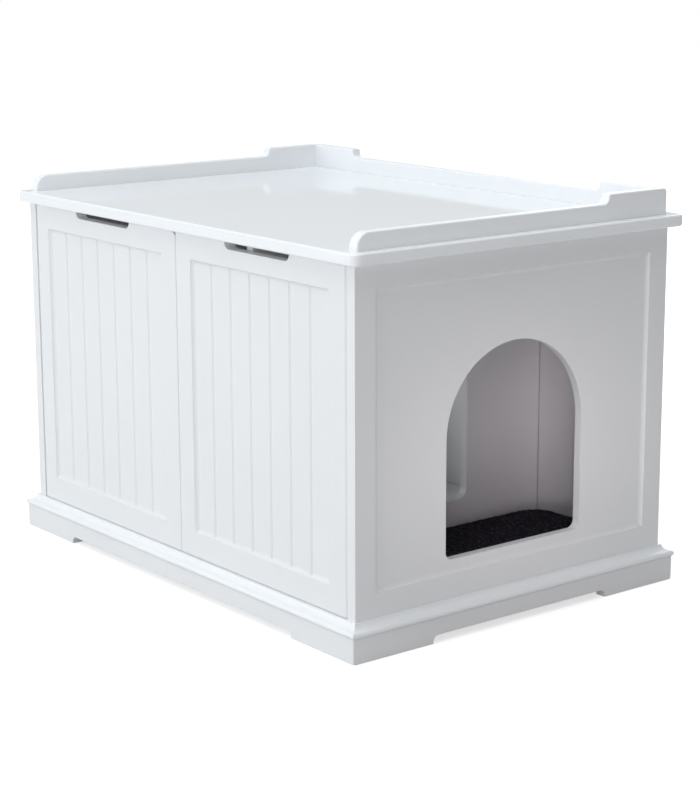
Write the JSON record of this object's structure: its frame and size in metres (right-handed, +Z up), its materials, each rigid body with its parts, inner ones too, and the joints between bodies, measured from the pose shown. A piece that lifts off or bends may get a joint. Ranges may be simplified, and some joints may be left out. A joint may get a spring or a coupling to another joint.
{
  "type": "cat house",
  "caption": "White painted cat house shaped as a low cabinet, with an arched side entrance, inset grooved doors on pivots, an inner divider, a gallery rail and a bracket-foot plinth.",
  "frame": {"origin": "on the floor, in the middle of the cabinet's plan", "axes": "+X along the doors to the side with the entrance, +Y from the doors to the back, +Z up"},
  "size_m": [0.75, 0.532, 0.51],
  "materials": {
    "white_paint": "satin white paint",
    "block_wood": "raw softwood",
    "dowel_wood": "raw beech",
    "mat_carpet": "needle felt carpet",
    "bush_nylon": "natural nylon",
    "catch_plastic": "moulded white",
    "magnet_ferrite": "sintered ferrite",
    "cam_zinc": "cast zinc",
    "pin_steel": "drawn steel",
    "plate_steel": "zinc plated",
    "screw_steel": "zinc plated"
  },
  "bodies": {
    "cabinet": {"base_board": "white_paint", "plinth_front": "white_paint", "plinth_rear": "white_paint", "plinth_left": "white_paint", "plinth_right": "white_paint", "side_panel_left": "white_paint", "side_panel_right": "white_paint", "back_panel": "white_paint", "divider": "white_paint", "top_board": "white_paint", "gallery_left": "white_paint", "gallery_right": "white_paint", "gallery_back": "white_paint", "corner_blocks": "block_wood", "dowels": "dowel_wood", "floor_mat": "mat_carpet", "pivot_bushes": "bush_nylon", "catch_housing": "catch_plastic", "catch_magnets": "magnet_ferrite", "cam_bolts": "cam_zinc", "cam_nuts": "cam_zinc", "base_screws": "screw_steel", "block_screws": "screw_steel", "gallery_screws": "screw_steel", "back_screws": "screw_steel", "catch_screws": "screw_steel"},
    "left_door": {"door_left": "white_paint", "pivot_pins_left": "pin_steel", "strike_plate_left": "plate_steel", "strike_screw_left": "screw_steel"},
    "right_door": {"door_right": "white_paint", "pivot_pins_right": "pin_steel", "strike_plate_right": "plate_steel", "strike_screw_right": "screw_steel"}
  },
  "joints": [
    {"name": "left_door_hinge", "type": "hinge", "parent": "cabinet", "child": "left_door", "pos_m": [-0.3281, -0.2425, 0.254], "axis": [0, 0, -1], "range_deg": [0, 110]},
    {"name": "right_door_hinge", "type": "hinge", "parent": "cabinet", "child": "right_door", "pos_m": [0.3281, -0.2425, 0.254], "axis": [0, 0, 1], "range_deg": [0, 110]}
  ]
}
